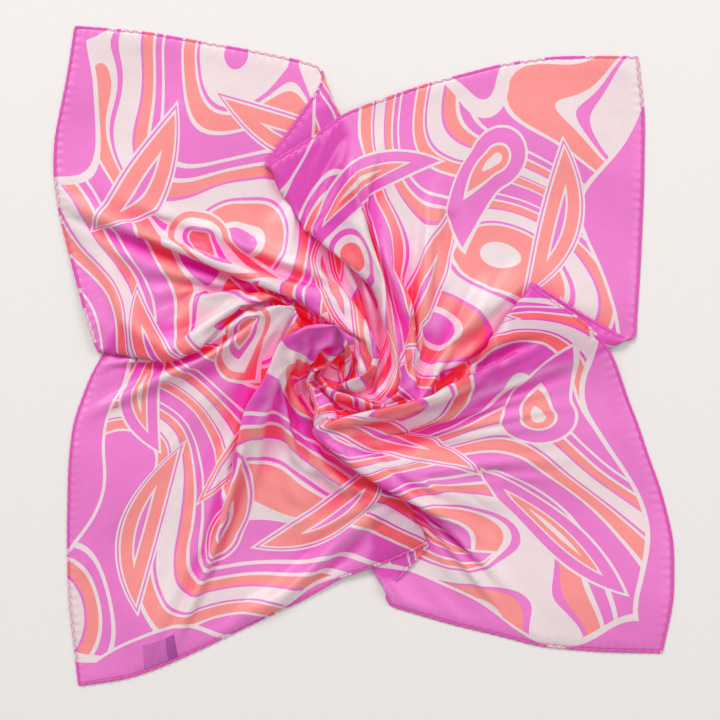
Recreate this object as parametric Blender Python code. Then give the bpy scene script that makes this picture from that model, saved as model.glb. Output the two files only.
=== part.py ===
"""A silk square scarf laid out on a table, with its middle twisted into a swirl.

The square has a rolled hem all round. Twisting the middle clockwise pulls a pleat into each side, so
the cloth shows as four petals, one for each corner. Going clockwise, each petal lies on the one before
it, with the pleat's middle layer between them. All folds run into the swirl, a rounded heap of cloth
whose low rim the petals lie on.

Tables are in millimetres and degrees, and the scene is in metres. Z is up, the table is z = 0, and the
origin is on the table under the middle of the laid-out scarf. Bearings are counted anticlockwise from
+X about the middle of the swirl.
"""

import math

import bmesh
import bpy
import numpy as np

MM = 0.001

# Layers
WALL = 1.8  # thickness of a layer of cloth
GAP = 0.3  # between pieces that meet
LAYER_STEP = 3.5  # from a layer of cloth up to the next one that lies on it
REST_FLAT = 0.6  # folds lower than this are pressed flat, so the petals rest on the table

# Rolled hem
HEM_ACROSS = 2.6
HEM_LIFT = 0.3  # its underside clears the table by this
HEM_RESOLUTION = 1

# Swirl
SWIRL_AT = (-35.0, -18.0)
SWIRL_RADIUS = 105.0
RIM_RADIUS = 142.0  # the low rim under the petals
RIM_CLEARANCE = 0.9  # the petals lie this far above the rim
MOUND_HEIGHT = 13.0  # the heap without its folds
MOUND_SPREAD = 112.0
EYE_DEPTH = 12.0  # the hollow in the middle of the swirl
EYE_SPREAD = 15.0
SWIRL_RINGS = 20
RIM_RINGS = 2
RIM_STEP = 0.05  # the heap's side leans out by this, down to its rim

# Petals
FALL = 36.0  # past a pleat, an upper petal comes down to the table over this distance
PETAL_CELLS_AROUND = 34
PETAL_CELLS_INWARD = 12
PLEAT_CELLS_AROUND = 7
PLEAT_CELLS_INWARD = 14

PLEAT_IN_SWIRL = {"start": SWIRL_RADIUS, "wrap": 62.0, "fade": 25.0, "turn": 110.0}
PLEAT_EDGE = 7.0  # inside the swirl, a pleat's upper edge rises over this distance

FOLD_STATIONS = 48  # points along a fold's crest
FOLD_BLEND = 4  # the power that blends crossing folds into one surface
FOLD_RISE = 0.22  # share of its length over which a fold rises from flat
FOLD_END = 0.12  # share of its length over which it sinks again
CURVE_STATIONS = 24  # points on each span of a smooth curve

# Each petal's hem, clockwise: from the pleat's upper fold to the corner, then on to the next pleat's
# lower fold. The points (x, y) lie on a smooth curve.
PETAL_HEMS = {
    "upper_left": (
        [(-208, 3), (-218, 28), (-228, 65), (-241, 115), (-245, 150), (-242, 185), (-228, 260)],
        [(-228, 260), (-176, 257), (-119, 247), (-79, 240), (-33, 228)],
    ),
    "upper_right": (
        [(-79, 149), (-40, 173), (-15, 191), (26, 207), (110, 231), (153, 237), (217, 237)],
        [(217, 237), (222, 192), (221, 128), (218, 65), (215, 15)],
    ),
    "lower_right": (
        [(130, 59), (176, 28), (195, 6), (209, -35), (235, -106), (245, -155), (236, -234)],
        [(236, -234), (188, -233), (140, -229), (69, -211), (17, -192)],
    ),
    "lower_left": (
        [(54, -146), (6, -166), (-50, -193), (-130, -233), (-169, -252), (-225, -260)],
        [(-225, -260), (-233, -193), (-233, -89), (-226, -43), (-205, 0), (-193, 27)],
    ),
}

# Each pleat, between the petal that it names (on top) and the one before it. The upper fold is the
# edge that shows, the lower fold is under the upper petal, and both run from the hem in to a bearing
# on the swirl. The hem of the middle layer goes from the upper fold to the lower one.
PLEATS = {
    "upper_left": {
        "name": "left",
        "upper_fold": [(-208, 3), (-186, -2), (-163, -6)],
        "upper_bearing": 175,
        "lower_fold": [(-193, 27), (-165, 28), (-148, 22)],
        "lower_bearing": 162,
        "hem": [(-208, 3), (-193, 27)],
    },
    "upper_right": {
        "name": "top",
        "upper_fold": [(-79, 149), (-66, 125), (-46, 98)],
        "upper_bearing": 90,
        "lower_fold": [(-33, 228), (-15, 191), (2, 150), (0, 115)],
        "lower_bearing": 77,
        "hem": [(-79, 149), (-33, 228)],
    },
    "lower_right": {
        "name": "right",
        "upper_fold": [(130, 59), (115, 39), (103, 23), (82, -12)],
        "upper_bearing": -11,
        "lower_fold": [(215, 15), (195, 5), (150, -12), (105, -38)],
        "lower_bearing": -23,
        "hem": [(130, 59), (176, 32), (215, 15)],
    },
    "lower_left": {
        "name": "bottom",
        "upper_fold": [(54, -146), (43, -132)],
        "upper_bearing": -58,
        "lower_fold": [(17, -192), (6, -166), (0, -140)],
        "lower_bearing": -72,
        "hem": [(54, -146), (29, -172), (17, -192)],
    },
}

CLOCKWISE = ["upper_left", "upper_right", "lower_right", "lower_left"]

# The largest folds. Each starts at a bearing and a distance from the middle of the swirl, runs in,
# and turns clockwise until it circles the eye at its wrap distance; fade is how slowly it does so.
# Height is its crest above the mound. Left and right are how far it spreads on either side of the
# crest, seen on the way in, so left is the clockwise side.
FOLD_COLUMNS = ("bearing", "start", "wrap", "fade", "turn", "height", "left", "right")
FOLDS = [
    # along the petals' upper folds
    (173, 172, 50, 12, 150, 11, 26, 14),
    (102, 165, 66, 15, 130, 11, 22, 13),
    (22, 180, 98, 14, 80, 11, 20, 13),
    (-56, 157, 70, 20, 100, 10, 14, 16),
    # upper left petal
    (134, 196, 59, 26, 120, 13, 19, 12),
    (152, 222, 80, 22, 60, 7, 26, 22),
    (122, 200, 78, 22, 60, 6, 16, 14),
    # upper right petal
    (75, 150, 75, 24, 100, 13, 13, 11),
    (60, 210, 84, 22, 80, 8, 18, 15),
    (45, 235, 92, 19, 76, 9, 16, 14),
    (33, 215, 92, 17, 70, 10, 14, 12),
    (9, 98, 62, 15, 75, 16, 12, 8),
    # lower right petal
    (2, 190, 100, 16, 40, 6, 20, 16),
    (-29, 236, 36, 11, 120, 17, 15, 13),
    (-50, 200, 90, 18, 50, 8, 22, 17),
    # lower left petal
    (-123, 216, 40, 13, 215, 18, 22, 13),
    (-100, 200, 84, 18, 50, 6, 18, 16),
    (-150, 210, 78, 20, 60, 8, 20, 16),
    (-176, 200, 70, 16, 60, 7, 18, 14),
    # round the eye
    (150, 60, 20, 40, 220, 12, 10, 7),
    (-60, 55, 18, 40, 220, 10, 10, 7),
]

COLOURS = {
    "orchid": (0.79, 0.17, 0.55, 1.0),
    "coral": (0.93, 0.27, 0.2, 1.0),
    "ivory": (0.86, 0.74, 0.73, 1.0),
    "deep_orchid": (0.68, 0.1, 0.42, 1.0),
}
SILK_ROUGHNESS = 0.42


def ease(share):
    """Goes smoothly from 0 to 1 as the share does."""
    share = np.clip(share, 0.0, 1.0)
    return share * share * (3.0 - 2.0 * share)


def smooth_curve(points, count):
    """Evenly spaced points on the Catmull-Rom curve through the given ones."""
    points = np.asarray(points, float)
    padded = np.vstack([2 * points[0] - points[1], points, 2 * points[-1] - points[-2]])
    t = np.linspace(0.0, 1.0, CURVE_STATIONS, endpoint=False)[:, None]
    spans = []
    for a, b, c, d in zip(padded, padded[1:], padded[2:], padded[3:]):
        spans.append(
            b
            + 0.5 * t * (c - a)
            + 0.5 * t**2 * (2 * a - 5 * b + 4 * c - d)
            + 0.5 * t**3 * (3 * b - a - 3 * c + d)
        )
    return evenly(np.vstack(spans + [points[-1:]]), count)


def evenly(points, count):
    """The polyline's points at equal distances along it."""
    steps = np.linalg.norm(np.diff(points, axis=0), axis=1)
    along = np.concatenate([[0.0], np.cumsum(steps)])
    wanted = np.linspace(0.0, along[-1], count)
    return np.column_stack([np.interp(wanted, along, points[:, i]) for i in range(2)])


def from_swirl(bearing, distance):
    """The point at a bearing and a distance from the middle of the swirl."""
    angle = np.radians(bearing)
    way = np.stack([np.cos(angle), np.sin(angle)], axis=-1)
    return np.asarray(SWIRL_AT) + way * np.asarray(distance)[..., None]


def distance_to(points, line):
    """Each point's distance from a line, positive on its left, and the share of the way along."""
    starts = line[:-1]
    ways = np.diff(line, axis=0)
    lengths = np.linalg.norm(ways, axis=1)
    offsets = points[:, None, :] - starts[None, :, :]
    share = np.clip((offsets * ways).sum(-1) / lengths**2, 0.0, 1.0)
    apart = offsets - share[..., None] * ways
    nearest = np.linalg.norm(apart, axis=-1).argmin(axis=1)
    rows = np.arange(len(points))
    way = ways[nearest]
    offset = offsets[rows, nearest]
    side = np.where(way[:, 0] * offset[:, 1] - way[:, 1] * offset[:, 0] >= 0.0, 1.0, -1.0)
    before = np.concatenate([[0.0], np.cumsum(lengths)])
    along = (before[nearest] + share[rows, nearest] * lengths[nearest]) / before[-1]
    return side * np.linalg.norm(apart[rows, nearest], axis=1), along


def inward_line(fold):
    """The line that a fold follows, from its outer end in to the swirl."""
    turned = fold["turn"] * np.linspace(0.0, 1.0, FOLD_STATIONS) ** 2
    reach = fold["wrap"] + (fold["start"] - fold["wrap"]) * np.exp(-turned / fold["fade"])
    return evenly(from_swirl(fold["bearing"] - turned, reach), FOLD_STATIONS)


def fold_height(points):
    """Height of the folds above the mound, blended where they cross."""
    total = np.zeros(len(points))
    for row in FOLDS:
        fold = dict(zip(FOLD_COLUMNS, row))
        apart, along = distance_to(points, inward_line(fold))
        spread = np.where(apart > 0.0, fold["left"], fold["right"])
        crest = fold["height"] * ease(along / FOLD_RISE) * ease((1.0 - along) / FOLD_END)
        total += (crest * np.exp(-((apart / spread) ** 2))) ** FOLD_BLEND
    return total ** (1.0 / FOLD_BLEND)


def mound_height(points):
    """Height of the heap without its folds."""
    away = np.linalg.norm(points - np.asarray(SWIRL_AT), axis=1)
    mound = MOUND_HEIGHT * np.exp(-((away / MOUND_SPREAD) ** 2))
    return mound - EYE_DEPTH * np.exp(-((away / EYE_SPREAD) ** 2))


def lying_height(points):
    """Underside of cloth that lies on the table or on the heap."""
    return np.maximum(mound_height(points) + fold_height(points) - REST_FLAT, 0.0)


def upper_fold(petal, count):
    """The pleat's fold that shows, from the swirl out to the hem."""
    pleat = PLEATS[petal]
    end = from_swirl(pleat["upper_bearing"], SWIRL_RADIUS + GAP)
    return smooth_curve(pleat["upper_fold"] + [tuple(end)], count)[::-1]


def lower_fold(petal, count):
    """The pleat's hidden fold, from the swirl out to the hem."""
    pleat = PLEATS[petal]
    end = from_swirl(pleat["lower_bearing"], SWIRL_RADIUS + GAP)
    return smooth_curve(pleat["lower_fold"] + [tuple(end)], count)[::-1]


def after(petal):
    """The petal that lies on this one."""
    return CLOCKWISE[(CLOCKWISE.index(petal) + 1) % len(CLOCKWISE)]


def pleat_underside(points):
    """Underside of a pleat's middle layer."""
    return lying_height(points) + LAYER_STEP


def petal_underside(points, petal):
    """Underside of a petal: over its pleat it lies on two layers, and past it, it comes down."""
    past, _ = distance_to(points, lower_fold(petal, FOLD_STATIONS)[::-1])
    return lying_height(points) + 2 * LAYER_STEP * (1.0 - ease((past - WALL) / FALL))


def swirl_top(points):
    """Top of the heap, with each pleat's layers going on as a step that winds in and sinks."""
    top = lying_height(points) + WALL
    for pleat in PLEATS.values():
        edges = [dict(PLEAT_IN_SWIRL, bearing=pleat[edge]) for edge in ("upper_bearing", "lower_bearing")]
        onto, along = distance_to(points, inward_line(edges[0]))
        past, _ = distance_to(points, inward_line(edges[1]))
        step = ease(onto / PLEAT_EDGE + 0.5) * (1.0 - ease(past / FALL)) * (1.0 - ease(along))
        top += 2 * LAYER_STEP * step
    return top


def hem_line(petal):
    """The petal's hem, clockwise, with the corner on one of its points."""
    to_corner, from_corner = PETAL_HEMS[petal]
    lengths = [np.linalg.norm(np.diff(side, axis=0), axis=1).sum() for side in (to_corner, from_corner)]
    first = round(PETAL_CELLS_AROUND * lengths[0] / sum(lengths))
    start = smooth_curve(to_corner, first + 1)
    end = smooth_curve(from_corner, PETAL_CELLS_AROUND - first + 1)
    return np.vstack([start, end[1:]])


def patch(inner, outer, first, last):
    """Points of a panel between four edges: rows go from the inner edge out to the outer one."""
    u = np.linspace(0.0, 1.0, len(inner))[None, :, None]
    v = np.linspace(0.0, 1.0, len(first))[:, None, None]
    across = (1 - v) * inner[None] + v * outer[None]
    along = (1 - u) * first[:, None] + u * last[:, None]
    corners = (
        (1 - v) * ((1 - u) * inner[0] + u * inner[-1]) + v * ((1 - u) * outer[0] + u * outer[-1])
    )
    return across + along - corners


def swirl_arc(start, end, count):
    """Points round the swirl's edge, clockwise between two bearings."""
    if end > start:
        end -= 360
    return from_swirl(np.linspace(start, end, count), np.full(count, SWIRL_RADIUS + GAP))


def add_object(name, mesh, collection, material):
    mesh.materials.append(material)
    obj = bpy.data.objects.new(name, mesh)
    collection.objects.link(obj)
    return obj


def cloth_panel(name, grid, underside, collection, material):
    """A wall of cloth: a grid laid on its underside's heights, extruded up by its thickness."""
    rows, columns = grid.shape[:2]
    flat = grid.reshape(-1, 2)
    heights = underside(flat)
    bm = bmesh.new()
    bmesh.ops.create_grid(bm, x_segments=columns - 1, y_segments=rows - 1, size=1.0)
    for vert in bm.verts:
        column = round((vert.co.x + 1.0) / 2.0 * (columns - 1))
        row = round((vert.co.y + 1.0) / 2.0 * (rows - 1))
        index = row * columns + column
        vert.co = (flat[index, 0] * MM, flat[index, 1] * MM, heights[index] * MM)
    raised = bmesh.ops.extrude_face_region(bm, geom=bm.faces[:])
    tops = [item for item in raised["geom"] if isinstance(item, bmesh.types.BMVert)]
    bmesh.ops.translate(bm, verts=tops, vec=(0.0, 0.0, WALL * MM))
    bmesh.ops.recalc_face_normals(bm, faces=bm.faces[:])
    mesh = bpy.data.meshes.new(name)
    bm.to_mesh(mesh)
    bm.free()
    mesh.shade_smooth()
    mesh.set_sharp_from_angle(angle=math.radians(50))
    return add_object(name, mesh, collection, material)


def rolled_hem(name, edge, underside, collection, material):
    """A hem's tube along a panel's edge, made from the edge's points moved out."""
    way = np.gradient(edge, axis=0)
    way /= np.linalg.norm(way, axis=1)[:, None]
    outward = np.column_stack([-way[:, 1], way[:, 0]])
    chord = np.diff(edge, axis=0)
    chord /= np.linalg.norm(chord, axis=1)[:, None]
    bend = np.ones(len(edge))
    bend[1:-1] = np.sqrt(np.clip((1.0 + (chord[1:] * chord[:-1]).sum(1)) / 2.0, 0.25, 1.0))
    middle = edge + outward * ((HEM_ACROSS / 2 + GAP) / bend)[:, None]
    heights = np.maximum(underside(edge) + WALL / 2, HEM_ACROSS / 2 + HEM_LIFT)
    curve = bpy.data.curves.new(name, "CURVE")
    curve.dimensions = "3D"
    curve.bevel_depth = HEM_ACROSS / 2 * MM
    curve.bevel_resolution = HEM_RESOLUTION
    curve.use_fill_caps = True
    spline = curve.splines.new("POLY")
    spline.points.add(len(edge) - 1)
    for point, (x, y), z in zip(spline.points, middle, heights):
        point.co = (x * MM, y * MM, z * MM, 1.0)
    return add_object(name, curve, collection, material)


def add_petal(petal, collection, material, hem_material):
    hem = hem_line(petal)
    inner = swirl_arc(
        PLEATS[petal]["upper_bearing"], PLEATS[after(petal)]["lower_bearing"], len(hem)
    )
    first = upper_fold(petal, PETAL_CELLS_INWARD + 1)
    last = lower_fold(after(petal), PETAL_CELLS_INWARD + 1)
    hem[0] = first[-1]
    grid = patch(inner, hem, first, last)

    def underside(points):
        return petal_underside(points, petal)

    cloth_panel("petal_" + petal, grid, underside, collection, material)
    rolled_hem("hem_" + petal, hem, underside, collection, hem_material)


def add_pleat(petal, collection, material, hem_material):
    pleat = PLEATS[petal]
    hem = smooth_curve(pleat["hem"], PLEAT_CELLS_AROUND + 1)
    inner = swirl_arc(pleat["upper_bearing"], pleat["lower_bearing"], len(hem))
    first = upper_fold(petal, PLEAT_CELLS_INWARD + 1)
    last = lower_fold(petal, PLEAT_CELLS_INWARD + 1)
    hem[0] = first[-1]
    hem[-1] = last[-1]
    grid = patch(inner, hem, first, last)

    cloth_panel("pleat_" + pleat["name"], grid, pleat_underside, collection, material)
    rolled_hem("hem_pleat_" + pleat["name"], hem[1:-1], pleat_underside, collection, hem_material)


def ring_radius(ring):
    """Radius of one of the swirl's rings of points: the heap, its side, then the rim."""
    if ring <= SWIRL_RINGS:
        return SWIRL_RADIUS * ring / SWIRL_RINGS
    share = (ring - SWIRL_RINGS - 1) / RIM_RINGS
    return SWIRL_RADIUS + RIM_STEP + (RIM_RADIUS - SWIRL_RADIUS - RIM_STEP) * share


def ring_bearing(x, y):
    """Bearing that a point of the square grid takes when its square rings are made round."""
    if x == 0.0 and y == 0.0:
        return 0.0
    if abs(x) >= abs(y):
        return (180.0 if x < 0.0 else 0.0) + 45.0 * y / x
    return (270.0 if y < 0.0 else 90.0) - 45.0 * x / y


def add_swirl(collection, material):
    """The heap: a square grid wrapped round into rings, lifted to the folds, and closed below."""
    rings = SWIRL_RINGS + 1 + RIM_RINGS
    bm = bmesh.new()
    bmesh.ops.create_grid(bm, x_segments=2 * rings, y_segments=2 * rings, size=rings)
    verts = list(bm.verts)
    flat = np.empty((len(verts), 2))
    ring_of = np.empty(len(verts), int)
    for index, vert in enumerate(verts):
        x, y = round(vert.co.x), round(vert.co.y)
        ring_of[index] = max(abs(x), abs(y))
        flat[index] = from_swirl(ring_bearing(x, y), ring_radius(ring_of[index]))
    tops = swirl_top(flat)
    rim = ring_of > SWIRL_RINGS
    tops[rim] = mound_height(flat[rim]) - REST_FLAT - RIM_CLEARANCE
    for vert, (x, y), z in zip(verts, flat, tops):
        vert.co = (x * MM, y * MM, z * MM)
    edges = [edge for edge in bm.edges if edge.is_boundary]
    skirt = bmesh.ops.extrude_edge_only(bm, edges=edges)["geom"]
    for vert in skirt:
        if isinstance(vert, bmesh.types.BMVert):
            vert.co.z = 0.0
    bmesh.ops.holes_fill(bm, edges=[edge for edge in bm.edges if edge.is_boundary])
    bmesh.ops.recalc_face_normals(bm, faces=bm.faces[:])
    mesh = bpy.data.meshes.new("swirl")
    bm.to_mesh(mesh)
    bm.free()
    mesh.shade_smooth()
    mesh.set_sharp_from_angle(angle=math.radians(60))
    return add_object("swirl", mesh, collection, material)


def silk(name, colour):
    """A finish of printed silk."""
    material = bpy.data.materials.new(name)
    material.use_nodes = True
    shader = material.node_tree.nodes["Principled BSDF"]
    shader.inputs["Base Color"].default_value = COLOURS[colour]
    shader.inputs["Roughness"].default_value = SILK_ROUGHNESS
    shader.inputs["Metallic"].default_value = 0.0
    return material


def main():
    for obj in list(bpy.data.objects):
        bpy.data.objects.remove(obj)
    collection = bpy.data.collections.new("silk_square_scarf")
    bpy.context.scene.collection.children.link(collection)
    hem = silk("rolled_hem", "deep_orchid")
    add_swirl(collection, silk("silk_swirl", "coral"))
    for petal, colour in zip(CLOCKWISE, ("orchid", "ivory", "coral", "orchid")):
        add_petal(petal, collection, silk("silk_" + petal, colour), hem)
        add_pleat(petal, collection, silk("silk_pleat_" + PLEATS[petal]["name"], "deep_orchid"), hem)


main()
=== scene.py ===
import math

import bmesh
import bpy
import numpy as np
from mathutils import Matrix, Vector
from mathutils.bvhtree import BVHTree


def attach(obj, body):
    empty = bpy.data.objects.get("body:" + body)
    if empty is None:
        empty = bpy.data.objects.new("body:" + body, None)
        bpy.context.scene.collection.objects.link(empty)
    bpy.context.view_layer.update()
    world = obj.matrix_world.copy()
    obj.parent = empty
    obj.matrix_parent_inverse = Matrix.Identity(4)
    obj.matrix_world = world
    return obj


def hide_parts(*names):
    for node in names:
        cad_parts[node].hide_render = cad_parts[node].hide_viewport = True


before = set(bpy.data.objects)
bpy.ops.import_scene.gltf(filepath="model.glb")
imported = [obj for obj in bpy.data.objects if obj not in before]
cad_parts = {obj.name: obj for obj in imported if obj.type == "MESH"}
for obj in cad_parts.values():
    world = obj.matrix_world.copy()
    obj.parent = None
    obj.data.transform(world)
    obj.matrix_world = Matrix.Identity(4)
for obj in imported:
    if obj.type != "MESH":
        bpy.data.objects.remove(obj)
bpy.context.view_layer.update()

# A printed silk square, laid on a table with its middle twisted into a swirl.
#
# The flat square is gathered by a cloth simulation: its hem goes to the outline that it lies in, with a
# pleat in each side, its middle turns clockwise, and the crests of its main folds are lifted. It then
# settles, at last with only its hem and middle held. Lengths in tables are millimetres, angles degrees;
# the scene is in metres, with the table at z = 0.

MM = 0.001

# The cloth
SIDE = 600.0  # each side of the square as cut
CELLS = 100  # of the simulated cloth along a side
SILK_THICKNESS = 0.5
HEM_LIFT = 0.35  # raises the hem's heights in the table below by what its roll adds
HEM_SMOOTHINGS = 3
LAYER_SLACK = 0.1  # this much above the table's layer still counts as on it

# Where each side's hem lies, clockwise from the upper left corner: x, y, and the height of its layer.
# In a pleat it goes back on itself, one layer up, and then on again over both.
HEM_LIES = {
    "top": [
        (-228, 261, 1), (-176, 257, 1), (-119, 247, 1), (-79, 240, 1), (-52, 234, 1), (-35, 230, 1),
        (-31, 222, 2.2), (-34, 213, 3.4), (-58, 179, 3.4), (-76, 154, 3.6), (-79, 149, 4.6),
        (-74, 152, 5.6), (-61, 160, 5.6), (-40, 173, 5.6), (-15, 191, 5.4), (4, 199, 3.5), (26, 207, 2),
        (53, 216, 1.2), (110, 231, 1), (153, 237, 1), (217, 237, 1),
    ],
    "right": [
        (217, 237, 1), (219, 217, 1), (222, 192, 1), (221, 128, 1), (218, 65, 1), (215, 21, 1),
        (215, 14, 2.2), (208, 13, 3.4), (176, 31, 3.4), (135, 57, 3.6), (130, 59, 4.6), (135, 54, 5.6),
        (175, 26, 5.6), (192, 8, 5.4), (199, -6, 3.5), (209, -35, 1.5), (218, -57, 1), (223, -74, 1),
        (235, -106, 1), (245, -146, 1), (245, -193, 1), (236, -234, 1),
    ],
    "bottom": [
        (236, -234, 1), (188, -233, 1), (140, -229, 1), (111, -221, 1), (69, -211, 1), (42, -203, 1),
        (22, -197, 1.2), (17, -191, 2.2), (22, -182, 3.2), (30, -173, 3.4), (51, -149, 3.6),
        (54, -146, 4.6), (50, -147, 5.6), (42, -151, 5.6), (27, -158, 5.6), (6, -166, 5), (-19, -175, 3),
        (-50, -193, 1.4), (-90, -212, 1), (-130, -231.5, 1), (-150, -240.5, 1), (-169, -248.5, 1),
        (-190, -255, 1), (-225, -260, 1),
    ],
    "left": [
        (-225, -260, 1), (-233, -193, 1), (-234, -142, 1), (-233, -89, 1), (-230, -58, 1), (-226, -43, 1),
        (-221, -31, 1), (-215, -14, 1), (-206, 0, 1), (-193, 24, 1.2), (-191, 29, 2.2), (-194, 26, 3.4),
        (-206, 5, 3.6), (-208, 1, 4.6), (-210, 5, 5.6), (-218, 28, 5), (-228, 65, 2.5), (-241, 115, 1),
        (-245, 145, 1), (-244, 173, 1), (-234, 221, 1), (-228, 261, 1),
    ],
}
TABLE_LAYER, TOP_LAYER = 1.0, 5.6

# The pleats' creases, from the hem inwards: points of the flat square, and where each comes to lie.
CREASE_COLUMNS = ("flat_x", "flat_y", "x", "y", "z")
CREASES = {
    "top, lower crease": [
        (-93, 289, -26, 211, 2.2), (-88, 278, -20.5, 200.5, 2.2), (-83, 267.5, -15.5, 189.5, 2.2),
        (-78, 256.5, -10, 179, 2.2),
    ],
    "top, upper crease": [
        (-6.5, 285, -71.5, 136, 5.5), (-4.5, 270.5, -64, 123, 6), (-2, 255.5, -56.5, 110, 6.5),
        (0, 238.5, -48, 95.5, 8),
    ],
    "right, lower crease": [
        (290, 88.5, 204.5, 8.5, 2.2), (279.5, 82.5, 193.5, 3, 2.2), (269.5, 76, 183, -2.5, 2.2),
    ],
    "right, upper crease": [(280, 2, 117.5, 42.5, 6.5), (264, 2, 107.5, 30.5, 9)],
    "bottom, lower crease": [
        (63, -290, 12, -180, 2.2), (56.5, -279.5, 6.5, -169.5, 2.2), (51.5, -271, 2, -160.5, 2.2),
    ],
    "bottom, upper crease": [
        (6, -286, 48.5, -133, 6), (4, -272.5, 42.5, -120.5, 7.5), (2, -258.5, 37, -107.5, 9.5),
    ],
    "left, upper crease": [
        (-290, 30, -197, 0, 6), (-277.5, 23.5, -183, -3, 6.5), (-259, 15, -163, -6, 7),
        (-243.5, 7.5, -146, -4, 8),
    ],
}

# The main folds' crests, and a hollow, from the outside in. Bearing and reach say which point of the flat
# square is lifted, and x, y and z where the twist takes it.
CREST_COLUMNS = ("bearing", "reach", "x", "y", "z")
CRESTS = {
    "lower left roll": [
        (-132, 283, -132, -149, 10.5), (-132, 246, -114, -112, 15.5), (-132, 208, -104, -84, 21),
        (-132, 174, -96, -48, 26), (-132, 143, -80, -21, 31), (-132, 106, -61, 11, 35),
        (-132, 83, -42, 23, 36.5), (-132, 60, -19, 27, 34), (-132, 40, -3, 15, 28.5),
    ],
    "lower right roll": [
        (-44, 260, 92, -112, 14), (-44, 222, 48, -98, 22), (-44, 193, 16, -88, 28), (-44, 158, -16, -76, 32),
        (-44, 124, -44, -56, 31),
    ],
    "hollow beside the lower right roll": [
        (-36, 261, 100, -88, 2), (-33, 224, 60, -72, 3), (-30, 196, 28, -63, 4),
    ],
    "upper left ridge": [
        (142, 271, -157, 107, 6.5), (138.5, 249, -130, 96, 9), (132.5, 217, -90, 85, 13),
        (126, 183, -57, 75, 17), (121, 146, -24, 58, 22), (118, 116, -3, 37, 26),
        (116, 86, 10, 9, 26), (115, 57, 7, -20, 22),
    ],
    "upper right ridge": [
        (71, 234, 1, 119, 10.5), (63, 190, 23, 69, 18), (61, 165, 34, 45, 22), (59.5, 146, 39, 25, 23.5),
        (58.5, 118, 38, -3, 23.5), (59, 91, 29, -28, 22), (60, 66, 13, -44, 18),
    ],
    "right ridge": [
        (53, 252, 67, 112, 6.5), (48, 225, 69, 80, 10.5), (46, 198, 61, 53, 15.5), (44, 167, 51, 21, 19.5),
        (43.8, 136, 42, -7, 22),
    ],
    "right flap's edge": [
        (1, 238, 98, 12, 8), (1, 212, 87, -8, 9), (1, 186, 77, -28, 10), (1, 160, 66, -49, 10),
    ],
    "right roll": [
        (36, 222, 102, 53, 13), (33, 184, 83, 19, 20), (30, 146, 61, -11, 25), (27, 113, 43, -39, 26),
    ],
    "left rim": [
        (181, 221, -126, 5, 10), (184.5, 198, -106, 17, 13), (190, 171, -80, 33, 18),
        (197.5, 145, -50, 42, 24),
    ],
}

# The middle of the cloth, which turns as one disc
EYE = (-28.0, -16.0)
EYE_RADIUS = 24.0
EYE_SHRINKS_TO = 0.75
EYE_TURN = 200.0
EYE_HEIGHT = 8.0
SETTLED_EYE_RADIUS = 20.0
BACK_TURN = 330.0  # a point that would turn further than this turns the other way instead

# The gathering
GATHER_FRAMES, SETTLE_FRAMES = 60, 3
SHAPING_FRAMES, EASING_FRAMES = 16, 3
GATHER_STEPS = 14
PLEAT_RISE, CREST_RISE, EYE_RISE = 50.0, 20.0, 30.0  # how high each is carried on its way
START_HEIGHT = 1.0
TABLE_GAP = 0.6  # that the simulation leaves under the cloth

# How deep the painted shade and painted glow go in the folds, standing in for light that passes from layer to
# layer of thin silk
FOLD_SHALLOW, FOLD_DEPTH = 1.5, 6.5  # how far down it starts, and how much further it is complete
DEPTH_CELL = 4.0
DEPTH_REACH = 5  # cells that an average takes in
DEPTH_MARGIN = 4  # cells left empty around the cloth
LAYER_REACH = 9.0  # how far down a layer still adds painted shade to the one on top of it
LAYER_GAP = 0.8  # how far below a layer the next one is looked for
LAYERS_COUNTED = 3
# Painted shade: how much each of red, green and blue deepens, as a power of the dye's colour. In folds red
# stays.
FOLD_PAINTED_SHADE = (-0.2, 2.8, 1.3)
FOLD_PAINTED_GLOW = 0.17  # painted glow, an emission for the light that comes through the silk into its deepest folds
# Painted shade where other layers of silk lie below, on the face and on the reverse
LAYERS_PAINTED_SHADE = (1.0, 1.0, 0.7)
REVERSE_LAYERS_PAINTED_SHADE = (1.5, 1.5, 1.0)
REVERSE_FADE = 0.06
# Painted shade of the rolled hem's several layers
HEM_PAINTED_SHADE = 0.6

# Hem
ROLL_RADIUS = 1.4  # half its width
ROLL_FLATNESS = 0.55
STITCH_PITCH = 7.0
STITCH_ACROSS = 1.0  # how far the thread swings to each side
THREAD_RADIUS = 0.22

# A small blank label, sewn under the hem near the lower left corner; where it shows through the silk, the
# cloth over it gets painted shade
LABEL_MIDDLE = (-231.0, -289.5)
LABEL_SIZE = (30.0, 21.0)
LABEL_FOLD = 9.0  # width of its folded end, which is darker
LABEL_DROP = 0.4  # below the middle of the cloth
LABEL_THICKNESS = 0.15

# Colours
ORCHID = (0.80, 0.185, 0.57, 1.0)
CORAL = (0.91, 0.275, 0.265, 1.0)
IVORY = (0.81, 0.68, 0.695, 1.0)
THREAD_PINK = (0.78, 0.07, 0.40, 1.0)
# Painted highlight, scattered along the thread's twist
THREAD_PAINTED_HIGHLIGHT = (0.88, 0.15, 0.52, 1.0)
GRAIN_SHADE = (0.97, 0.93, 0.96, 1.0)
# Painted shade of the label seen through the silk
LABEL_PAINTED_SHADE = (0.50, 0.36, 0.62, 1.0)
LABEL_WHITE = (0.72, 0.70, 0.70, 1.0)
BLACK = (0.0, 0.0, 0.0, 1.0)
FLOOR_GREY = (0.80, 0.77, 0.755, 1.0)
SKY = (1.0, 0.985, 0.97, 1.0)

# The view from above, in metres
CAMERA_PLACE = (-0.0028, -0.0028, 1.6)
VIEW_WIDTH = 0.571


# ---- the cloth's shape


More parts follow.
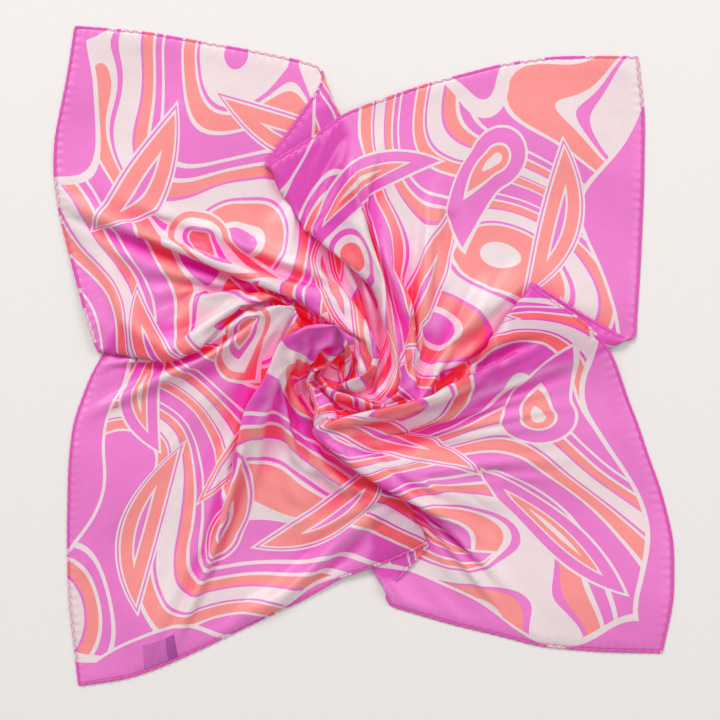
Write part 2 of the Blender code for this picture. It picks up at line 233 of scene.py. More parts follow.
def flat_square(cells, height):
    """Points of the flat cloth, row by row from its lower left corner, in metres."""
    steps = np.linspace(-SIDE / 2, SIDE / 2, cells + 1)
    x, y = np.meshgrid(steps, steps)
    return np.column_stack([x.ravel(), y.ravel(), np.full(x.size, height)]) * MM


def edge_rows(cells):
    """Indices of the points on each side, clockwise from the upper left corner."""
    index = np.arange((cells + 1) ** 2).reshape(cells + 1, cells + 1)
    return {"top": index[-1], "right": index[::-1, -1], "bottom": index[0, ::-1], "left": index[:, 0]}


def hem_target(side, count):
    """Points spread evenly along a side's hem where it lies, as a smooth line where that is the table."""
    line = np.array(HEM_LIES[side], float)
    line[:, 2] += HEM_LIFT
    steps = np.linalg.norm(np.diff(line[:, :2], axis=0), axis=1)
    along = np.concatenate([[0.0], np.cumsum(steps)])
    wanted = np.linspace(0.0, along[-1], count)
    points = np.column_stack([np.interp(wanted, along, line[:, axis]) for axis in range(3)])
    for _ in range(HEM_SMOOTHINGS):
        between = (points[:-2] + 2.0 * points[1:-1] + points[2:]) / 4.0
        on_table = points[1:-1, 2] < TABLE_LAYER + HEM_LIFT + LAYER_SLACK
        points[1:-1][on_table] = between[on_table]
    return points * MM


def nearest_point(flat, x, y):
    return int(np.argmin(np.linalg.norm(flat[:, :2] - np.array([x, y]) * MM, axis=1)))


def crease_holds(flat):
    """The cloth's points that are carried to the creases: their indices, and where each comes to lie."""
    rows = [dict(zip(CREASE_COLUMNS, row)) for row in sum(CREASES.values(), [])]
    index = [nearest_point(flat, row["flat_x"], row["flat_y"]) for row in rows]
    return np.array(index), np.array([(row["x"], row["y"], row["z"] + HEM_LIFT) for row in rows]) * MM


def crest_holds(flat):
    """The points that are carried to the crests: indices, and the turn, distance and height about the eye."""
    eye = np.array(EYE) * MM
    found = {}
    for row in sum(CRESTS.values(), []):
        crest = dict(zip(CREST_COLUMNS, row))
        bearing, reach = math.radians(crest["bearing"]), crest["reach"]
        index = nearest_point(flat, reach * math.cos(bearing), reach * math.sin(bearing))
        x, y = np.array([crest["x"], crest["y"]]) * MM - eye
        from_angle = math.atan2(flat[index, 1], flat[index, 0])
        turn = (from_angle - math.atan2(y, x)) % math.tau
        if turn > math.radians(BACK_TURN):
            turn -= math.tau
        found[index] = (turn, math.hypot(x, y), crest["z"] * MM)
    return np.array(list(found)), np.array(list(found.values()))


class Gathering:
    """Where the held points of the cloth are at each share of the way from flat to gathered."""

    def __init__(self, flat, cells):
        self.flat = flat
        rows = edge_rows(cells)
        target = flat.copy()
        for side, row in rows.items():
            target[row] = hem_target(side, len(row))
        creases, lie = crease_holds(flat)
        target[creases] = lie
        self.hem = np.unique(np.concatenate([*rows.values(), creases]))
        self.hem_target = target[self.hem]
        distance = np.linalg.norm(flat[:, :2], axis=1)
        self.disc = np.flatnonzero(distance < EYE_RADIUS * MM)
        self.crests, self.crest_ends = crest_holds(flat)
        self.held = np.concatenate([self.hem, self.disc, self.crests])

    def at(self, share):
        """All the cloth's points at this share of the way; only the held ones count."""
        points = self.flat.copy()
        arch = math.sin(math.pi * share)
        eye = np.array(EYE) * MM * share

        points[self.hem] += (self.hem_target - self.flat[self.hem]) * share
        layer = (self.hem_target[:, 2] / MM - HEM_LIFT - TABLE_LAYER) / (TOP_LAYER - TABLE_LAYER)
        points[self.hem, 2] += PLEAT_RISE * MM * np.clip(layer, 0.0, 1.0) * arch

        turned = -math.radians(EYE_TURN) * share
        shrunk = self.flat[self.disc, :2] * (1.0 - (1.0 - EYE_SHRINKS_TO) * share)
        turn = np.array([[math.cos(turned), math.sin(turned)], [-math.sin(turned), math.cos(turned)]])
        points[self.disc, :2] = shrunk @ turn + eye
        points[self.disc, 2] = (EYE_HEIGHT * min(1.0, 2.0 * share) + EYE_RISE * arch) * MM

        start = self.flat[self.crests]
        turns, ends, heights = self.crest_ends.T
        angle = np.arctan2(start[:, 1], start[:, 0]) - turns * share
        distance = np.linalg.norm(start[:, :2], axis=1) * (1.0 - share) + ends * share
        points[self.crests, 0] = eye[0] + distance * np.cos(angle)
        points[self.crests, 1] = eye[1] + distance * np.sin(angle)
        points[self.crests, 2] = start[:, 2] * (1.0 - share) + heights * share + CREST_RISE * MM * arch
        return points


def corner_points(mesh):
    """The point at each corner of the faces."""
    index = np.empty(len(mesh.loops), np.int32)
    mesh.loops.foreach_get("vertex_index", index)
    return index


def cloth_mesh(name, points, cells):
    """A square mesh through these points, with the flat cloth as its UV map."""
    index = np.arange((cells + 1) ** 2).reshape(cells + 1, cells + 1)
    corners = [index[:-1, :-1], index[:-1, 1:], index[1:, 1:], index[1:, :-1]]
    mesh = bpy.data.meshes.new(name)
    mesh.from_pydata(points.tolist(), [], np.stack(corners, axis=-1).reshape(-1, 4).tolist())
    flat = flat_square(cells, 0.0)[:, :2] / (SIDE * MM) + 0.5
    mesh.uv_layers.new(name="flat_cloth").data.foreach_set("uv", flat[corner_points(mesh)].ravel())
    return mesh


def points_of(mesh):
    points = np.empty(len(mesh.vertices) * 3, np.float32)
    mesh.vertices.foreach_get("co", points)
    return points.reshape(-1, 3).astype(float)


def add_silk_cloth(obj, group, self_gap):
    """Cloth settings of a light silk, with the held points in a vertex group."""
    cloth = obj.modifiers.new("silk", "CLOTH")
    settings = cloth.settings
    settings.quality = 8
    settings.mass = 0.1
    settings.air_damping = 1.0
    settings.tension_stiffness = settings.compression_stiffness = 20.0
    settings.shear_stiffness = 5.0
    settings.bending_stiffness = 1.0
    settings.tension_damping = settings.compression_damping = settings.shear_damping = 5.0
    settings.bending_damping = 0.5
    settings.vertex_group_mass = group
    settings.pin_stiffness = 1.0
    touch = cloth.collision_settings
    touch.collision_quality = 3
    touch.distance_min = self_gap * MM
    touch.use_self_collision = True
    touch.self_distance_min = self_gap * MM
    touch.self_friction = 5.0
    return cloth


def run_to(obj, cloth, last):
    """Steps the simulation to its last frame and returns the points there."""
    scene = bpy.context.scene
    cloth.point_cache.frame_start = 1
    cloth.point_cache.frame_end = last
    scene.frame_start, scene.frame_end = 1, last
    for frame_number in range(1, last + 1):
        scene.frame_set(frame_number)
    graph = bpy.context.evaluated_depsgraph_get()
    mesh = bpy.data.meshes.new_from_object(obj.evaluated_get(graph))
    points = points_of(mesh)
    bpy.data.objects.remove(obj)
    bpy.data.meshes.remove(mesh)
    return points


def new_object(name, mesh):
    obj = bpy.data.objects.new(name, mesh)
    bpy.context.scene.collection.objects.link(obj)
    return obj


def level_square(name, reach):
    """A square at z = 0 that reaches this many metres each way."""
    mesh = bpy.data.meshes.new(name)
    corners = [(-reach, -reach, 0.0), (reach, -reach, 0.0), (reach, reach, 0.0), (-reach, reach, 0.0)]
    mesh.from_pydata(corners, [], [(0, 1, 2, 3)])
    return new_object(name, mesh)


def hold(obj, points):
    group = obj.vertex_groups.new(name="held")
    group.add([int(point) for point in points], 1.0, "REPLACE")
    return group.name


def gather(flat, gathering):
    """First run: the held points are carried from flat to gathered, a shape key at a time."""
    obj = new_object("gathering", cloth_mesh("gathering", flat, CELLS))
    group = hold(obj, gathering.held)
    obj.shape_key_add(name="Basis")
    span = GATHER_FRAMES / GATHER_STEPS
    for step in range(1, GATHER_STEPS + 1):
        key = obj.shape_key_add(name=f"step {step}")
        key.data.foreach_set("co", gathering.at(step / GATHER_STEPS).ravel())
        for offset, value in ((-1, 0.0), (0, 1.0), (1, 0.0)):
            if step + offset <= GATHER_STEPS:
                key.value = value
                key.keyframe_insert("value", frame=1 + (step + offset) * span)
    action = obj.data.shape_keys.animation_data.action
    for curve in action.layers[0].strips[0].channelbags[0].fcurves:
        for point in curve.keyframe_points:
            point.interpolation = "LINEAR"
    cloth = add_silk_cloth(obj, group, self_gap=1.5)
    return run_to(obj, cloth, GATHER_FRAMES + SETTLE_FRAMES)


def settle(points, flat, held, frames):
    """The cloth relaxes towards its flat lengths, with only these points held."""
    obj = new_object("settling", cloth_mesh("settling", points, CELLS))
    group = hold(obj, held)
    obj.shape_key_add(name="Basis")
    rest = obj.shape_key_add(name="flat")
    rest.data.foreach_set("co", flat.ravel())
    cloth = add_silk_cloth(obj, group, self_gap=1.2)
    cloth.settings.rest_shape_key = rest
    return run_to(obj, cloth, frames)


def simulated_cloth():
    """The points of the gathered cloth."""
    table = level_square("sim_floor", 2.0)
    table.modifiers.new("rest", "COLLISION")
    table.collision.thickness_outer = MM
    table.collision.cloth_friction = 5.0
    flat = flat_square(CELLS, START_HEIGHT)
    gathering = Gathering(flat, CELLS)
    eye = np.flatnonzero(np.linalg.norm(flat[:, :2], axis=1) < SETTLED_EYE_RADIUS * MM)
    edges = np.concatenate([gathering.hem, eye])
    points = gather(flat, gathering)
    points = settle(points, flat, np.concatenate([edges, gathering.crests]), SHAPING_FRAMES)
    points = settle(points, flat, edges, EASING_FRAMES)
    bpy.data.objects.remove(table)
    bpy.context.scene.frame_set(1)
    points[:, 2] = np.maximum(points[:, 2] - TABLE_GAP * MM, SILK_THICKNESS / 2 * MM)
    return points


def finished_mesh(obj):
    """The object's mesh with its modifiers applied, as a plain mesh."""
    bpy.context.view_layer.update()
    graph = bpy.context.evaluated_depsgraph_get()
    made = obj.evaluated_get(graph)
    mesh = bpy.data.meshes.new_from_object(made, preserve_all_data_layers=True, depsgraph=graph)
    obj.modifiers.clear()
    obj.data = mesh
    mesh.shade_smooth()
    return obj


def smooth_sheet(points):
    """The single layer of cloth at its final fineness."""
    obj = new_object("sheet", cloth_mesh("sheet", points, CELLS))
    finer = obj.modifiers.new("finer", "SUBSURF")
    finer.levels = finer.render_levels = 1
    finer.boundary_smooth = "PRESERVE_CORNERS"
    return finished_mesh(obj)


def blurred(field, cells, times=3):
    """The field averaged over this many cells each way, several times over."""
    window = np.ones(cells) / cells
    for _ in range(times):
        for axis in (0, 1):
            field = np.apply_along_axis(lambda line: np.convolve(line, window, "same"), axis, field)
    return field


def store_eased(mesh, name, values, times):
    """Stores a value for each point of the mesh, averaged with its neighbours' this many times."""
    ends = np.empty(len(mesh.edges) * 2, np.int32)
    mesh.edges.foreach_get("vertices", ends)
    one, other = ends.reshape(-1, 2).T
    for _ in range(times):
        total, count = values.copy(), np.ones(len(values))
        for here, there in ((one, other), (other, one)):
            np.add.at(total, here, values[there])
            np.add.at(count, here, 1.0)
        values = total / count
    mesh.attributes.new(name, "FLOAT", "POINT").data.foreach_set("value", values)


def mark_painted_fold_shade(sheet):
    """Stores, as the painted fold shade's mask, how deep each point lies below the cloth around it: 0 on top,
    1 in the deep folds.
    """
    points = points_of(sheet.data)
    corner = points[:, :2].min(axis=0) - DEPTH_MARGIN * DEPTH_CELL * MM
    cell = ((points[:, :2] - corner) / (DEPTH_CELL * MM)).astype(int)
    top = np.zeros(cell.max(axis=0) + DEPTH_MARGIN + 2)
    spots = tuple(cell.T)
    np.maximum.at(top, spots, points[:, 2])
    below = (blurred(top, DEPTH_REACH)[spots] - points[:, 2]) / MM - FOLD_SHALLOW
    store_eased(sheet.data, "fold_shade_mask", np.clip(below / FOLD_DEPTH, 0.0, 1.0), times=2)


def mark_painted_layer_shade(sheet):
    """Stores painted shade where other layers close below each point keep the pale table from shining
    through.
    """
    points = points_of(sheet.data)
    cloth = BVHTree.FromPolygons(points.tolist(), [tuple(face.vertices) for face in sheet.data.polygons])
    down = Vector((0.0, 0.0, -1.0))
    gap = down * LAYER_GAP * MM
    shade = np.zeros(len(points))
    for index, point in enumerate(points):
        hit = Vector(point)
        for layer in range(1, LAYERS_COUNTED + 1):
            hit = cloth.ray_cast(hit + gap, down, LAYER_REACH * MM)[0]
            if hit is None:
                break
            shade[index] = 1.0 - 0.5**layer
    store_eased(sheet.data, "layer_shade_mask", shade, times=1)


def thickened(obj, thickness, reverse_material=0):
    """The object as a wall about its sheet, with its material of this number below."""
    wall = obj.modifiers.new("thickness", "SOLIDIFY")
    wall.thickness = thickness * MM
    wall.offset = 0.0
    wall.material_offset = reverse_material
    return finished_mesh(obj)


def add_scarf(sheet, print_material, reverse_material):
    """The square of silk: the sheet given its thickness, with its reverse below."""
    obj = new_object("silk_square", sheet.data.copy())
    obj.data.materials.append(print_material)
    obj.data.materials.append(reverse_material)
    return thickened(obj, SILK_THICKNESS, reverse_material=1)


def add_label(sheet, material):
    """The label: the part of the sheet over it, moved down and given its thickness."""
    cloth = bmesh.new()
    cloth.from_mesh(sheet.data)
    uv = cloth.loops.layers.uv["flat_cloth"]
    outside = []
    for face in cloth.faces:
        for axis in (0, 1):
            share = sum(loop[uv].uv[axis] for loop in face.loops) / len(face.loops)
            if abs((share - 0.5) * SIDE - LABEL_MIDDLE[axis]) > LABEL_SIZE[axis] / 2:
                outside.append(face)
                break
    bmesh.ops.delete(cloth, geom=outside, context="FACES")
    for point in cloth.verts:
        point.co.z = max(point.co.z - LABEL_DROP * MM, LABEL_THICKNESS * MM)
    mesh = bpy.data.meshes.new("blank_label")
    cloth.to_mesh(mesh)
    cloth.free()
    mesh.materials.append(material)
    return thickened(new_object("blank_label", mesh), LABEL_THICKNESS)


# ---- node helpers


def node(tree, kind, inputs=(), **settings):
    """A node with its settings made, and its inputs set or linked in their order or by name."""
    made = tree.nodes.new(kind)
    for name, value in settings.items():
        setattr(made, name, value)
    pairs = inputs.items() if isinstance(inputs, dict) else enumerate(inputs)
    for key, value in pairs:
        if isinstance(value, bpy.types.NodeSocket):
            tree.links.new(value, made.inputs[key])
        elif value is not None:
            made.inputs[key].default_value = value
    return made


def calc(tree, operation, *values):
    """A Math node's value."""
    return node(tree, "ShaderNodeMath", values, operation=operation).outputs[0]


def vector_calc(tree, operation, *values):
    """A Vector Math node's vector."""
    return node(tree, "ShaderNodeVectorMath", values, operation=operation).outputs[0]


def parts(tree, vector):
    """The x, y and z of a vector."""
    return node(tree, "ShaderNodeSeparateXYZ", [vector]).outputs


def scaled(tree, vector, factor):
    return node(tree, "ShaderNodeVectorMath", {0: vector, "Scale": factor}, operation="SCALE").outputs[0]


def mix_colours(tree, share, first, second, blend="MIX"):
    """A Mix node's colour; the numbers are those of its colour sockets."""
    made = node(tree, "ShaderNodeMix", {0: share, 6: first, 7: second}, data_type="RGBA", blend_type=blend)
    return made.outputs[2]


def bands(tree, value, stops):
    """A colour ramp of plain bands with crisp edges; each stop is where a colour starts."""
    made = node(tree, "ShaderNodeValToRGB", [value])
    ramp = made.color_ramp
    ramp.interpolation = "CONSTANT"
    ramp.elements[0].position, ramp.elements[0].color = stops[0]
    ramp.elements[1].position, ramp.elements[1].color = stops[1]
    for place, colour in stops[2:]:
        ramp.elements.new(place).color = colour
    return made.outputs[0]


def group_tree(name, inputs, output, output_type="Float", kind="ShaderNodeTree"):
    """An empty node group, its given sockets and its result's socket. Each input has a type or a value."""
    tree = bpy.data.node_groups.new(name, kind)
    for socket, value in inputs.items():
        typed = isinstance(value, str)
        socket_type = value if typed else "Vector" if isinstance(value, tuple) else "Float"
        made = tree.interface.new_socket(socket, in_out="INPUT", socket_type="NodeSocket" + socket_type)
        if not typed:
            made.default_value = value
    tree.interface.new_socket(output, in_out="OUTPUT", socket_type="NodeSocket" + output_type)
    return tree, tree.nodes.new("NodeGroupInput").outputs, tree.nodes.new("NodeGroupOutput").inputs[0]


def use_group(tree, group, inputs):
    """The result of a node group."""
    return node(tree, "ShaderNodeGroup", inputs, node_tree=group).outputs[0]


def noise(tree, place, scale, detail=0.0):
    """The outputs of a noise over the flat cloth."""
    inputs = {"Vector": place, "Scale": scale, "Detail": detail}
    return node(tree, "ShaderNodeTexNoise", inputs, noise_dimensions="2D").outputs


def bump(tree, height, strength, distance, under=None):
    """Normals tilted by a height, on top of those of the bump under it."""
    inputs = {"Strength": strength, "Distance": distance, "Height": height, "Normal": under}
    return node(tree, "ShaderNodeBump", inputs).outputs[0]


# ---- the print

# The ribbons of colour under the motifs
MARBLE_BENDS = 7.0  # of the ribbons' course in a metre
MARBLE_DRIFT = 300.0
MARBLE_BEARING = 35.0
MARBLE_REPEAT = 125.0
MARBLE_BANDS = [
    (0.0, ORCHID), (0.2, IVORY), (0.235, CORAL), (0.38, IVORY), (0.41, ORCHID), (0.44, IVORY),
    (0.62, ORCHID), (0.65, CORAL), (0.77, IVORY), (0.81, ORCHID), (0.9, IVORY), (0.94, ORCHID),
]
# The border
BORDER_BENDS = 8.0
BORDER_SWING = 110.0  # how much its width wanders
BORDER_NARROWING = 0.4  # comes off the noise that its width follows
BORDER_LINE = 4.0

# Motifs of the print on the flat square, by their colouring: where each is, how it lies, and its size.
LEAF_COLUMNS = ("x", "y", "bearing", "length", "width", "bend")
LEAVES = {
    "coral": [
        (-232, 186, 62, 140, 38, -0.22), (-110, 242, 174, 158, 36, 0.22), (-256, 20, 96, 126, 32, 0.22),
        (236, 176, 76, 132, 36, -0.22), (112, 142, 46, 160, 42, -0.22), (240, 50, 104, 138, 34, 0.22),
        (146, -96, -36, 158, 38, 0.24), (-56, -240, -168, 152, 36, 0.22), (-240, -186, -108, 138, 38, -0.22),
    ],
    "ivory": [
        (-76, 124, 104, 120, 30, 0.24), (28, 90, 80, 112, 28, -0.24), (68, -104, -64, 112, 28, 0.24),
        (-134, -128, -126, 156, 38, 0.24),
    ],
    "orchid": [
        (-150, 84, 128, 134, 34, -0.24), (64, 244, 10, 156, 36, 0.22), (222, -212, -58, 132, 38, -0.22),
        (96, -232, -10, 148, 34, -0.22), (-254, -72, -78, 126, 32, -0.24),
    ],
}
PAISLEY_COLUMNS = ("x", "y", "radius", "bearing", "curl")
PAISLEYS = {
    "coral": [
        (-22, 196, 24, -20, -0.30), (166, 12, 25, 80, 0.28), (-158, -214, 26, 20, 0.30),
    ],
    "ivory": [
        (-186, 152, 27, -70, 0.30), (-178, -30, 25, -110, 0.28), (64, 4, 24, -40, 0.26),
        (-70, 26, 24, 140, -0.26),
    ],
    "orchid": [
        (186, 232, 25, 200, 0.30), (244, -108, 24, 100, -0.30), (14, -178, 25, 160, -0.28),
    ],
}
# Bands from a motif's middle out to its outline, by the share of the way where each starts
LEAF_BANDS = {
    "coral": [(0.0, ORCHID), (0.13, IVORY), (0.22, CORAL), (0.74, IVORY), (0.83, ORCHID), (0.91, IVORY)],
    "ivory": [
        (0.0, CORAL), (0.22, ORCHID), (0.29, IVORY), (0.62, ORCHID), (0.72, IVORY), (0.78, CORAL),
        (0.92, IVORY),
    ],
    "orchid": [(0.0, IVORY), (0.12, CORAL), (0.34, IVORY), (0.42, ORCHID), (0.88, IVORY)],
}
PAISLEY_BANDS = {
    "coral": [(0.0, ORCHID), (0.24, IVORY), (0.36, CORAL), (0.76, IVORY), (0.83, ORCHID), (0.93, IVORY)],
    "ivory": [(0.0, CORAL), (0.3, IVORY), (0.36, ORCHID), (0.5, IVORY), (0.74, CORAL), (0.92, IVORY)],
    "orchid": [(0.0, IVORY), (0.18, CORAL), (0.4, IVORY), (0.48, ORCHID), (0.92, IVORY)],
}
MOTIF_INPUTS = {"Place": "Vector", "Middle": "Vector", "Bearing": 0.0}
PAISLEY_SPREAD = 1.25  # half the angle, in radians, over which a paisley's tail leaves its round head


def leaf_group():
    """How far a place is from a bent leaf's midrib, from 0 there to 1 at its outline."""
    inputs = {**MOTIF_INPUTS, "Half length": 0.05, "Half width": 0.015, "Bend": 0.2}
    tree, given, result = group_tree("printed_leaf", inputs, "Level")
    inputs = {"Vector": given["Place"], "Center": given["Middle"], "Angle": given["Bearing"]}
    turned = node(tree, "ShaderNodeVectorRotate", inputs, rotation_type="Z_AXIS").outputs[0]
    split = parts(tree, vector_calc(tree, "SUBTRACT", turned, given["Middle"]))
    along = calc(tree, "DIVIDE", split[0], given["Half length"])
    along_squared = calc(tree, "MULTIPLY", along, along)
    bend = calc(tree, "MULTIPLY", along_squared, given["Bend"])
    sag = calc(tree, "MULTIPLY", bend, given["Half length"])
    across = calc(tree, "ABSOLUTE", calc(tree, "ADD", split[1], sag))
    level = calc(tree, "ADD", along_squared, calc(tree, "DIVIDE", across, given["Half width"]))
    tree.links.new(level, result)
    return tree


def paisley_group():
    """How far a place is from the head of a paisley with a curled tail, from 0 there to 1 at its outline."""
    inputs = {**MOTIF_INPUTS, "Radius": 0.025, "Tail": 1.9, "Curl": 0.3}
    tree, given, result = group_tree("printed_paisley", inputs, "Level")
    local = vector_calc(tree, "SUBTRACT", given["Place"], given["Middle"])
    split = parts(tree, local)
    distance = node(tree, "ShaderNodeVectorMath", [local], operation="LENGTH").outputs["Value"]
    radii = calc(tree, "DIVIDE", distance, given["Radius"])
    bearing = calc(tree, "MULTIPLY_ADD", radii, given["Curl"], given["Bearing"])
    angle = calc(tree, "SUBTRACT", calc(tree, "ARCTAN2", split[1], split[0]), bearing)
    from_tail = calc(tree, "ARCCOSINE", calc(tree, "COSINE", angle))
    past_tail = calc(tree, "SUBTRACT", 1.0, calc(tree, "DIVIDE", from_tail, PAISLEY_SPREAD))
    share = calc(tree, "MAXIMUM", past_tail, 0.0)
    outline = calc(tree, "MULTIPLY_ADD", calc(tree, "MULTIPLY", share, share), given["Tail"], 1.0)
    tree.links.new(calc(tree, "DIVIDE", radii, outline), result)
    return tree


def leaf_values(leaf):
    """The inputs of a leaf's node group, from its row."""
    return {
        "Bearing": -math.radians(leaf["bearing"]),
        "Half length": leaf["length"] / 2 * MM,
        "Half width": leaf["width"] / 2 * MM,
        "Bend": leaf["bend"],
    }


def paisley_values(paisley):
    bearing = math.radians(paisley["bearing"])
    return {"Bearing": bearing, "Radius": paisley["radius"] * MM, "Curl": paisley["curl"]}


def motif_levels(tree, place):
    """For each kind and colouring of motif, its bands and the nearest one's level at this place, up to 1."""
    for group, values, columns, motifs, colourings in (
        (leaf_group(), leaf_values, LEAF_COLUMNS, LEAVES, LEAF_BANDS),
        (paisley_group(), paisley_values, PAISLEY_COLUMNS, PAISLEYS, PAISLEY_BANDS),
    ):
        for colouring, stops in colourings.items():
            nearest = 1.0
            for row in motifs[colouring]:
                motif = dict(zip(columns, row))
                middle = (motif["x"] * MM, motif["y"] * MM, 0.0)
                level = use_group(tree, group, {"Place": place, "Middle": middle, **values(motif)})
                nearest = calc(tree, "MINIMUM", nearest, level)
            yield stops, nearest


def marble(tree, place):
    """Ribbons of colour that wander over the whole square."""
    drift = vector_calc(tree, "SUBTRACT", noise(tree, place, MARBLE_BENDS)["Color"], (0.5, 0.5, 0.5))
    reach = (MARBLE_DRIFT * MM, MARBLE_DRIFT * MM, 0.0)
    split = parts(tree, vector_calc(tree, "MULTIPLY_ADD", drift, reach, place))
    bearing = math.radians(MARBLE_BEARING)
    across = calc(tree, "MULTIPLY", split[0], math.cos(bearing) / (MARBLE_REPEAT * MM))
    flow = calc(tree, "MULTIPLY_ADD", split[1], math.sin(bearing) / (MARBLE_REPEAT * MM), across)
    return bands(tree, calc(tree, "FRACT", flow), MARBLE_BANDS)


def print_group():
    """The printed colours: leaves and paisleys over ribbons of colour, and an orchid border."""
    tree, given, result = group_tree("leaf_and_ribbon_print", {"Place": "Vector"}, "Color", "Color")
    place = given["Place"]
    colour = marble(tree, place)

    wide, high = (calc(tree, "ABSOLUTE", part) for part in parts(tree, place)[:2])
    to_edge = calc(tree, "SUBTRACT", SIDE / 2 * MM, calc(tree, "MAXIMUM", wide, high))
    wander = calc(tree, "SUBTRACT", noise(tree, place, BORDER_BENDS)[0], BORDER_NARROWING)
    border = calc(tree, "SUBTRACT", to_edge, calc(tree, "MULTIPLY", wander, BORDER_SWING * MM))
    colour = mix_colours(tree, calc(tree, "LESS_THAN", border, BORDER_LINE * MM), colour, IVORY)
    colour = mix_colours(tree, calc(tree, "LESS_THAN", border, 0.0), colour, ORCHID)

    for stops, level in motif_levels(tree, place):
        inside = calc(tree, "LESS_THAN", level, 1.0)
        colour = mix_colours(tree, inside, colour, bands(tree, level, stops))
    tree.links.new(colour, result)
    return tree


def painted_label_shade_group():
    """Painted shade where the label lies under the cloth: 0 beside it, more over it, and 1 over its folded
    end.
    """
    inputs = {"Place": "Vector", "Single layer": 0.45}
    tree, given, result = group_tree("painted_shade_over_label", inputs, "Shade")
    middle = (LABEL_MIDDLE[0] * MM, LABEL_MIDDLE[1] * MM, 0.0)
    split = parts(tree, vector_calc(tree, "SUBTRACT", given["Place"], middle))
    wide, high = (calc(tree, "ABSOLUTE", part) for part in split[:2])
    within = calc(tree, "LESS_THAN", wide, LABEL_SIZE[0] / 2 * MM)
    over = calc(tree, "MULTIPLY", within, calc(tree, "LESS_THAN", high, LABEL_SIZE[1] / 2 * MM))
    fold = calc(tree, "GREATER_THAN", split[0], (LABEL_SIZE[0] / 2 - LABEL_FOLD) * MM)
    depth = calc(tree, "MAXIMUM", fold, given["Single layer"])
    tree.links.new(calc(tree, "MULTIPLY", over, depth), result)
    return tree


def pucker_group():
    """Height of the short puckers that the stitches draw in along the hem."""
    inputs = {"Place": "Vector", "Pitch": STITCH_PITCH * MM, "Reach": 0.01}
    tree, given, result = group_tree("hem_puckers", inputs, "Height")
    x, y = parts(tree, given["Place"])[:2]
    wide, high = calc(tree, "ABSOLUTE", x), calc(tree, "ABSOLUTE", y)
    on_side = calc(tree, "GREATER_THAN", wide, high)
    beside = calc(tree, "MULTIPLY", calc(tree, "SUBTRACT", 1.0, on_side), x)
    along = calc(tree, "ADD", calc(tree, "MULTIPLY", on_side, y), beside)
    wave = calc(tree, "SINE", calc(tree, "DIVIDE", calc(tree, "MULTIPLY", along, math.tau), given["Pitch"]))
    to_edge = calc(tree, "SUBTRACT", SIDE / 2 * MM, calc(tree, "MAXIMUM", wide, high))
    inwards = calc(tree, "MINIMUM", calc(tree, "DIVIDE", to_edge, given["Reach"]), 1.0)
    drawn_in = calc(tree, "MULTIPLY", wave, calc(tree, "SUBTRACT", 1.0, inwards))
    uneven = noise(tree, given["Place"], scale=60.0, detail=1.0)[0]
    tree.links.new(calc(tree, "MULTIPLY", drawn_in, uneven), result)
    return tree


def twill_group():
    """Height of a fine silk twill's diagonal rib, with a little slub."""
    inputs = {"Place": "Vector", "Ribs in a metre": 1400.0, "Slub": 0.8}
    tree, given, result = group_tree("silk_twill", inputs, "Height")
    split = parts(tree, given["Place"])
    diagonal = calc(tree, "ADD", split[0], split[1])
    turns = calc(tree, "MULTIPLY", calc(tree, "MULTIPLY", diagonal, given["Ribs in a metre"]), math.tau)
    slub = noise(tree, given["Place"], scale=260.0, detail=2.0)[0]
    tree.links.new(calc(tree, "MULTIPLY_ADD", slub, given["Slub"], calc(tree, "SINE", turns)), result)
    return tree


def grain_group():
    """How much darker the uneven warp and weft threads look, from 0 to 1."""
    inputs = {"Place": "Vector", "Threads in a metre": 1300.0, "Runs in a metre": 150.0}
    tree, given, result = group_tree("silk_grain", inputs, "Shade")
    threads, runs = given["Threads in a metre"], given["Runs in a metre"]
    total = 0.0
    for across, along in ((threads, runs), (runs, threads)):
        stretch = node(tree, "ShaderNodeCombineXYZ", [across, along, 0.0]).outputs[0]
        drawn = vector_calc(tree, "MULTIPLY", given["Place"], stretch)
        total = calc(tree, "ADD", total, noise(tree, drawn, scale=1.0, detail=1.0)[0])
    spread = node(tree, "ShaderNodeMapRange", {"Value": total, "From Min": 0.7, "From Max": 1.3})
    tree.links.new(spread.outputs[0], result)
    return tree


# ---- finishes


def painted_shade_group():
    """Painted shade: colour deepened as by light that passes the dyed silk more than once."""
    inputs = {"Color": "Color", "Depth": 0.0, "Deepening": FOLD_PAINTED_SHADE}
    tree, given, result = group_tree("painted_silk_shade", inputs, "Color", "Color")
    layers = scaled(tree, given["Deepening"], given["Depth"])
    powers = parts(tree, vector_calc(tree, "ADD", layers, (1.0, 1.0, 1.0)))
    dye = node(tree, "ShaderNodeSeparateColor", [given["Color"]]).outputs
    kept = [calc(tree, "POWER", dye[channel], powers[channel]) for channel in range(3)]
    tree.links.new(node(tree, "ShaderNodeCombineColor", kept).outputs[0], result)
    return tree


def principled(name, **values):
    """A material with its Principled shader's plain values set."""
    material = bpy.data.materials.new(name)
    material.use_nodes = True
    shader = material.node_tree.nodes["Principled BSDF"]
    for socket, value in values.items():
        shader.inputs[socket.replace("_", " ")].default_value = value
    return material, material.node_tree, shader


def place_on_cloth(tree):
    """The place on the flat square, in metres from its middle, from the cloth's UV map."""
    uv = node(tree, "ShaderNodeUVMap", uv_map="flat_cloth")
    centred = vector_calc(tree, "SUBTRACT", uv.outputs[0], (0.5, 0.5, 0.0))
    return vector_calc(tree, "MULTIPLY", centred, (SIDE * MM, SIDE * MM, 0.0))


